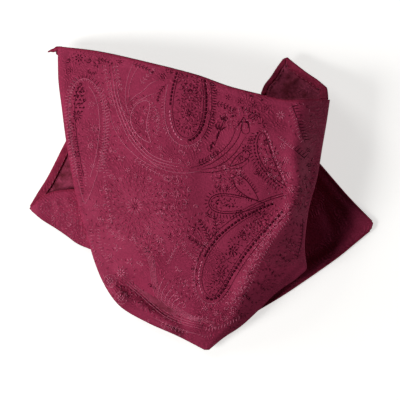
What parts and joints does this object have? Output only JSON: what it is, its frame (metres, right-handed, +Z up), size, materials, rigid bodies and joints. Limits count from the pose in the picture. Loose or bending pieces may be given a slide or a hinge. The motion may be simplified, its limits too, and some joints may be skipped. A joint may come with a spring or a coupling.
{
  "type": "pocket square",
  "caption": "Hemmed square of paisley satin, folded to a point at the bottom and laid down, with its corners fanned out above and at the sides.",
  "frame": {"origin": "on the table under the middle of the folded cloth's box", "axes": "+Z up from the table, +X to the right and +Y towards the open top hem as seen from above"},
  "size_m": [0.2291, 0.2014, 0.0405],
  "materials": {
    "satin_face": "satin face of a tone-on-tone jacquard, soft directional sheen",
    "satin_reverse": "matt reverse of the satin",
    "satin_hem": "turned and stitched hem, dull satin"
  },
  "bodies": {
    "root": {"front_panel": "satin_face", "back_fold": "satin_reverse", "flap_c": "satin_face", "flap_d_far": "satin_reverse", "flap_d_near": "satin_face", "hidden_folds": "satin_reverse", "hem_front": "satin_hem", "hem_b_long": "satin_hem", "hem_b_short": "satin_hem", "hem_c_upper": "satin_hem", "hem_c_lower": "satin_hem", "hem_d_rim": "satin_hem", "hem_d_lip": "satin_hem", "point_a": "satin_hem"}
  },
  "joints": []
}
